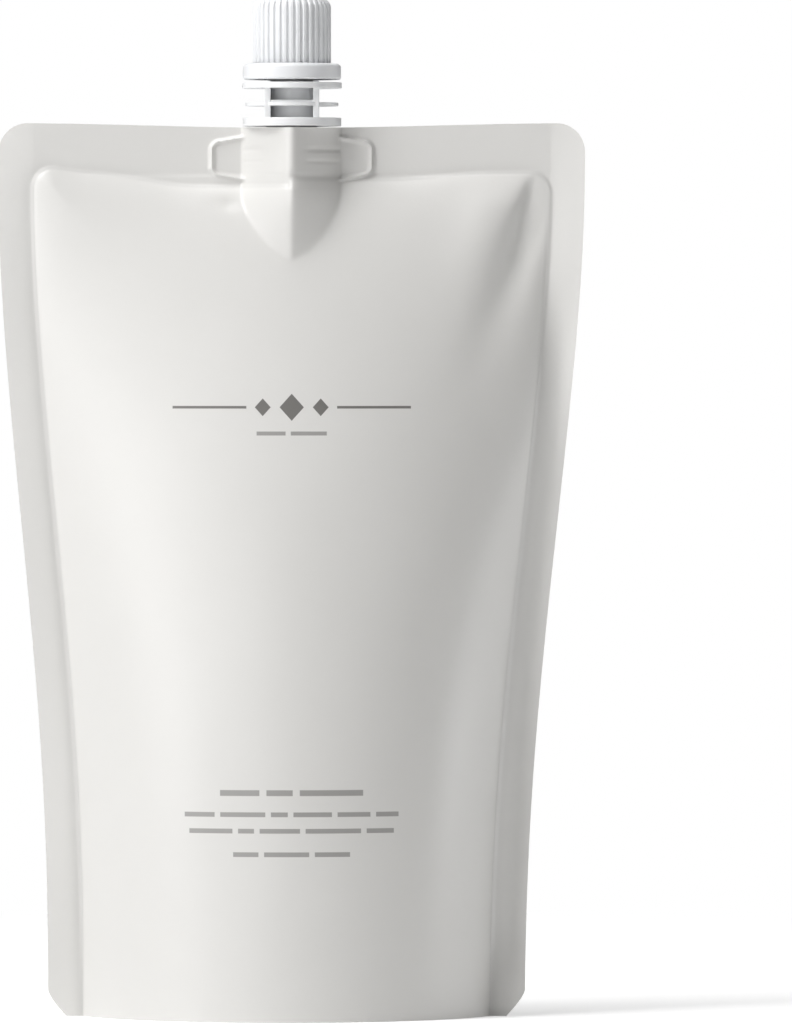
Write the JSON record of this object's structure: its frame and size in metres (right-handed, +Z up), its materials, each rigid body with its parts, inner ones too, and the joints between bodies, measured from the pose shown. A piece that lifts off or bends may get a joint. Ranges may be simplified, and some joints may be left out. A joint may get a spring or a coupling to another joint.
{
  "type": "hand soap refill pack",
  "caption": "Filled stand-up film refill pack with sealed edges and a bottom gusset, a welded pour spout, a tamper band and a ribbed screw cap.",
  "frame": {"origin": "centre of the footprint on the floor, on the spout's axis", "axes": "+Z up along the spout, front panel towards -Y, side seals along X"},
  "size_m": [0.1261, 0.0582, 0.2188],
  "materials": {
    "film": "matt laminated film, warm light grey",
    "white_plastic": "satin moulded polyethylene",
    "band_plastic": "satin moulded polypropylene",
    "cap_plastic": "satin moulded polypropylene",
    "liner_foam": "soft closed-cell foam disc"
  },
  "bodies": {
    "pack": {"film_pack": "film", "pour_spout": "white_plastic", "tamper_band": "band_plastic"},
    "seal": {"cap_liner": "liner_foam"},
    "cap": {"screw_cap": "cap_plastic"}
  },
  "joints": [
    {"name": "cap_rise", "type": "slide", "parent": "pack", "child": "seal", "axis": [0, 0, 1], "range_m": [0, 0.0045]},
    {"name": "cap_turn", "type": "hinge", "parent": "seal", "child": "cap", "pos_m": [0, 0, 0.2], "axis": [0, 0, 1], "range_deg": [0, 540]}
  ],
  "couplings": [
    {"joint": "cap_turn", "follows": "cap_rise", "rad_per_m": 2094.4}
  ]
}
